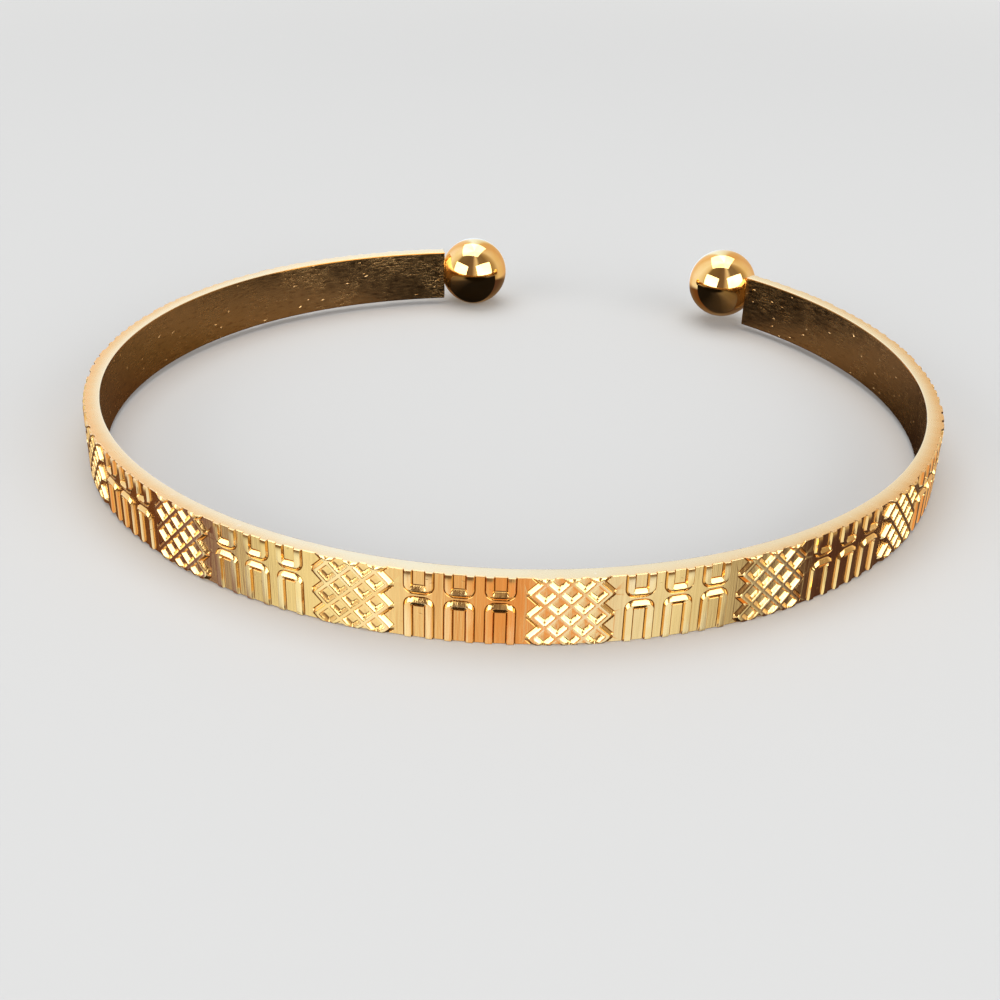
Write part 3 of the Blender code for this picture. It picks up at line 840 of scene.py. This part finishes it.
for stop, (away, color) in zip(cardTone.color_ramp.elements, card["tones"]):
    stop.position = away / card["toneReach"]
    stop.color = (*color, 1)
cardMiddle = addNode(cardTree, "VectorMath", (-700, 250), operation="LENGTH")
cardRing = addNode(cardTree, "MapRange", (-500, 250), interpolation_type="SMOOTHSTEP")
setInputs(cardRing, From_Min=card["middleFade"][0], From_Max=card["middleFade"][1])
cardSides = addNode(cardTree, "SeparateXYZ", (-700, -250))
cardRight = addNode(cardTree, "MapRange", (-500, -250))
setInputs(cardRight, From_Min=card["rightFade"][0], From_Max=card["rightFade"][1], To_Max=card["rightShare"])
cardDim = addNode(cardTree, "Mix", (-200, -200), data_type="RGBA")
cardDim.inputs["B"].default_value = (*card["rightColor"], 1)
cardMix = addNode(cardTree, "Mix", (0, 0), data_type="RGBA")
cardMix.inputs["A"].default_value = (*card["middleColor"], 1)
cardTree.links.new(cardPlace.outputs["Object"], cardAway.inputs[0])
cardTree.links.new(cardPlace.outputs["Object"], cardMiddle.inputs[0])
cardTree.links.new(cardAway.outputs["Value"], cardReach.inputs["Value"])
cardTree.links.new(cardReach.outputs["Result"], cardTone.inputs["Fac"])
cardTree.links.new(cardMiddle.outputs["Value"], cardRing.inputs["Value"])
cardTree.links.new(cardRing.outputs["Result"], cardMix.inputs["Factor"])
cardTree.links.new(cardPlace.outputs["Object"], cardSides.inputs[0])
cardTree.links.new(cardSides.outputs["X"], cardRight.inputs["Value"])
cardTree.links.new(cardRight.outputs["Result"], cardDim.inputs["Factor"])
cardTree.links.new(cardTone.outputs["Color"], cardDim.inputs["A"])
cardTree.links.new(cardDim.outputs["Result"], cardMix.inputs["B"])
cardTree.links.new(cardMix.outputs["Result"], cardTree.nodes["Principled BSDF"].inputs["Base Color"])
cardMesh.materials.append(cardMat)
darkReflectionCard.visible_camera = darkReflectionCard.visible_diffuse = darkReflectionCard.visible_shadow = False

world = bpy.data.worlds.new("softRoom")
bpy.context.scene.world = world
world.use_nodes = True
room = world.node_tree
backdrop = room.nodes["Background"]
look = addNode(room, "TexCoord", (-1600, 0))
aim = addNode(room, "SeparateXYZ", (-1400, 0))
back = addNode(room, "Math", (-1200, -200), operation="MULTIPLY")
back.inputs[1].default_value = -1.0
turn = addNode(room, "Math", (-1000, -200), operation="ARCTAN2")
around = addNode(room, "MapRange", (-800, -200))
setInputs(around, From_Min=-math.pi, From_Max=math.pi)
room.links.new(look.outputs["Generated"], aim.inputs[0])
room.links.new(aim.outputs["Y"], back.inputs[0])
room.links.new(aim.outputs["X"], turn.inputs[0])
room.links.new(back.outputs[0], turn.inputs[1])
room.links.new(turn.outputs[0], around.inputs["Value"])


def toneRing(tones, at):
    ring = addNode(room, "ValToRGB", at)
    stops = ring.color_ramp.elements
    while len(stops) < len(tones):
        stops.new(0.5)
    for stop, (azimuth, color) in zip(stops, tones):
        stop.position = azimuth / 360 + 0.5
        stop.color = (*color, 1)
    room.links.new(around.outputs["Result"], ring.inputs["Fac"])
    return ring


lowRing = toneRing(studio["lowTones"], (-550, -100))
highRing = toneRing(studio["highTones"], (-550, -400))
deepDown = addNode(room, "MapRange", (-800, 300), interpolation_type="SMOOTHSTEP")
setInputs(deepDown, From_Min=studio["belowFade"][0], From_Max=studio["belowFade"][1])
horizon = addNode(room, "MapRange", (-800, 100), interpolation_type="SMOOTHSTEP")
setInputs(horizon, From_Min=studio["horizonFade"][0], From_Max=studio["horizonFade"][1])
lower = addNode(room, "Mix", (-200, 100), data_type="RGBA")
lower.inputs["A"].default_value = (*studio["belowColor"], 1)
mixed = addNode(room, "Mix", (100, 100), data_type="RGBA")
room.links.new(aim.outputs["Z"], deepDown.inputs["Value"])
room.links.new(aim.outputs["Z"], horizon.inputs["Value"])
room.links.new(deepDown.outputs["Result"], lower.inputs["Factor"])
room.links.new(lowRing.outputs["Color"], lower.inputs["B"])
room.links.new(horizon.outputs["Result"], mixed.inputs["Factor"])
room.links.new(lower.outputs["Result"], mixed.inputs["A"])
room.links.new(highRing.outputs["Color"], mixed.inputs["B"])
filled = addNode(room, "Mix", (350, 200), data_type="RGBA")
filled.inputs["B"].default_value = (*studio["fillColor"], 1)
plain = addNode(room, "Mix", (600, 200), data_type="RGBA")
plain.inputs["B"].default_value = (*studio["backdropColor"], 1)
rays = addNode(room, "LightPath", (100, -200))
room.links.new(mixed.outputs["Result"], filled.inputs["A"])
room.links.new(rays.outputs["Is Diffuse Ray"], filled.inputs["Factor"])
room.links.new(filled.outputs["Result"], plain.inputs["A"])
room.links.new(rays.outputs["Is Camera Ray"], plain.inputs["Factor"])
room.links.new(plain.outputs["Result"], backdrop.inputs["Color"])

# azimuth from the front and elevation in degrees, distance, width, height, spin in degrees, brightness,
# colour, and what it lights where that isn't everything
softLights = {
    "leftWindow": (-41, 17, 1.00, 0.93, 0.64, 0, 3.6, (1.0, 0.99, 0.98), None),
    "rightWindow": (52, 20, 1.00, 1.06, 0.72, 0, 3.6, (1.0, 0.99, 0.98), None),
    "ceiling": (-150, 77, 1.00, 1.00, 1.04, -36, 2.2, (1.0, 0.99, 0.96), list(balls.values()) + [floor]),
    # the band has a weaker ceiling, or its rims burn out
    "ceilingGlow": (-150, 77, 1.00, 1.00, 1.04, -36, 0.95, (1.0, 0.97, 0.90), [band]),
}
for name, (azimuth, elevation, away, wide, high, spin, bright, color, lit) in softLights.items():
    turned, tilt = math.radians(azimuth), math.radians(elevation)
    toward = Vector((math.sin(turned) * math.cos(tilt), -math.cos(turned) * math.cos(tilt), math.sin(tilt)))
    data = bpy.data.lights.new(name, "AREA")
    data.shape = "RECTANGLE"
    data.size, data.size_y = wide, high
    data.energy = bright * math.pi * wide * high
    data.color = color
    light = bpy.data.objects.new(name, data)
    light.location = toward * away
    facing = toward.to_track_quat("Z", "Y").to_matrix()
    light.rotation_euler = (facing @ Matrix.Rotation(math.radians(spin), 3, "Z")).to_euler()
    light.visible_camera = False
    if lit:
        litPieces = bpy.data.collections.new(name + "Lights")
        for piece in lit:
            litPieces.objects.link(piece)
        light.light_linking.receiver_collection = litPieces
    bpy.context.scene.collection.objects.link(light)
bpy.context.scene.view_settings.view_transform = "Standard"
print("studio: floor, room and", len(softLights), "soft lights")

view = {
    "place": (0.016177, -0.098379, 0.045553),
    "turn": (62.21143684714584, -1.5085703878074073, 10.63521957584316),
    "lens": 48.6,
    "sensor": 36,
    "nearest": 0.005,
}
cameraData = bpy.data.cameras.new("camera")
cameraData.lens = view["lens"]
cameraData.sensor_width = view["sensor"]
cameraData.clip_start = view["nearest"]
camera = bpy.data.objects.new("camera", cameraData)
camera.location = view["place"]
camera.rotation_euler = [math.radians(a) for a in view["turn"]]
bpy.context.scene.collection.objects.link(camera)
bpy.context.scene.camera = camera
